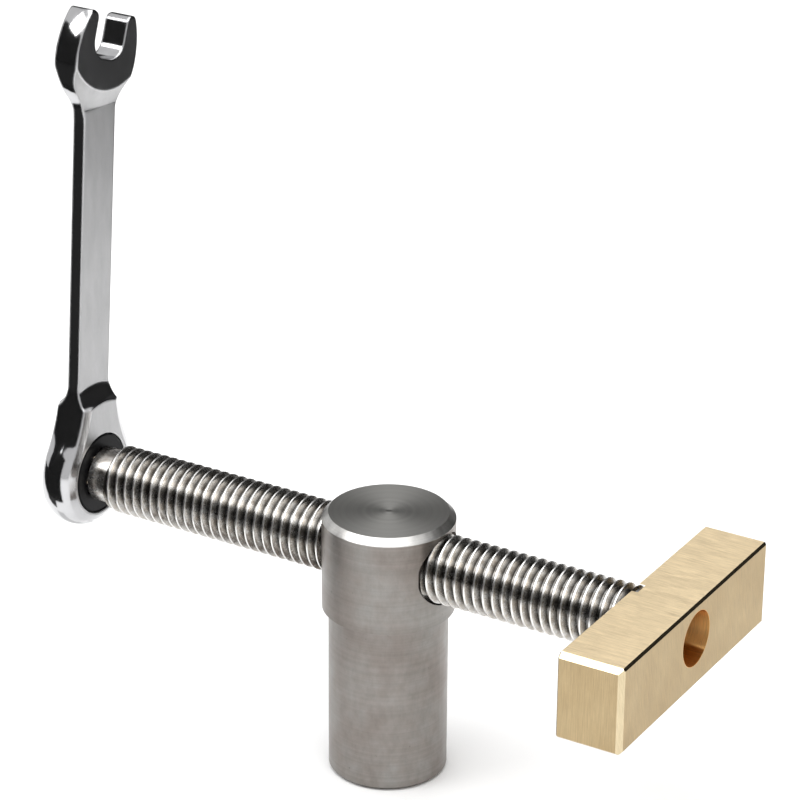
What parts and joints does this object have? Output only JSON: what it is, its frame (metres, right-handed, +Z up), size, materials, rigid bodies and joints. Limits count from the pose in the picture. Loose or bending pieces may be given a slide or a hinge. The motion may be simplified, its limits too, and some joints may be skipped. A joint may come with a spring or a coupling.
{
  "type": "bench dog clamp",
  "caption": "Bench clamp for a dog hole: round steel post, clamp screw with swivelling brass jaw, ratchet ring spanner on its hex tail.",
  "frame": {"origin": "post axis at the shoulder that rests on the bench top", "axes": "+Z up along the post, +X along the clamp screw from the spanner to the jaw"},
  "size_m": [0.1214, 0.0506, 0.1214],
  "materials": {
    "post_steel": "turned stainless steel, satin",
    "screw_steel": "turned stainless steel, bright",
    "washer_steel": "plain stainless steel",
    "jaw_brass": "linished brass, satin",
    "spanner_chrome": "polished chrome with satin flats",
    "black_steel": "black oxide"
  },
  "bodies": {
    "post": {"dog_post": "post_steel"},
    "carriage": {"thrust_washer": "washer_steel"},
    "screw": {"clamp_screw": "screw_steel", "keeper_washer": "washer_steel", "keeper_screw": "black_steel"},
    "jaw": {"jaw_block": "jaw_brass"},
    "gear": {"ratchet_gear": "black_steel"},
    "spanner": {"spanner_body": "spanner_chrome", "retaining_clip": "black_steel", "pawl_spring": "washer_steel"},
    "pawl": {"ratchet_pawl": "black_steel"}
  },
  "joints": [
    {"name": "screw_advance", "type": "slide", "parent": "post", "child": "carriage", "axis": [1, 0, 0], "range_m": [-0.0315, 0.04375]},
    {"name": "screw_turn", "type": "hinge", "parent": "carriage", "child": "screw", "pos_m": [0, 0, 0.0094], "axis": [1, 0, 0], "range_deg": [-6500, 9020]},
    {"name": "jaw_swivel", "type": "hinge", "parent": "carriage", "child": "jaw", "pos_m": [0.05, 0, 0.0094], "axis": [1, 0, 0], "continuous": true},
    {"name": "spanner_pull_off", "type": "slide", "parent": "screw", "child": "gear", "axis": [-1, 0, 0], "range_m": [0, 0.012]},
    {"name": "ratchet_turn", "type": "hinge", "parent": "gear", "child": "spanner", "pos_m": [-0.0611, 0, 0.0094], "axis": [1, 0, 0], "continuous": true},
    {"name": "pawl_click", "type": "slide", "parent": "spanner", "child": "pawl", "axis": [0, 0.0924, 0.9957], "range_m": [0, 0.0006], "stiffness_N_per_m": 800, "springref_m": -0.001, "deforming": ["pawl_spring"]}
  ],
  "couplings": [
    {"joint": "screw_turn", "follows": "screw_advance", "rad_per_m": 3590.4}
  ]
}
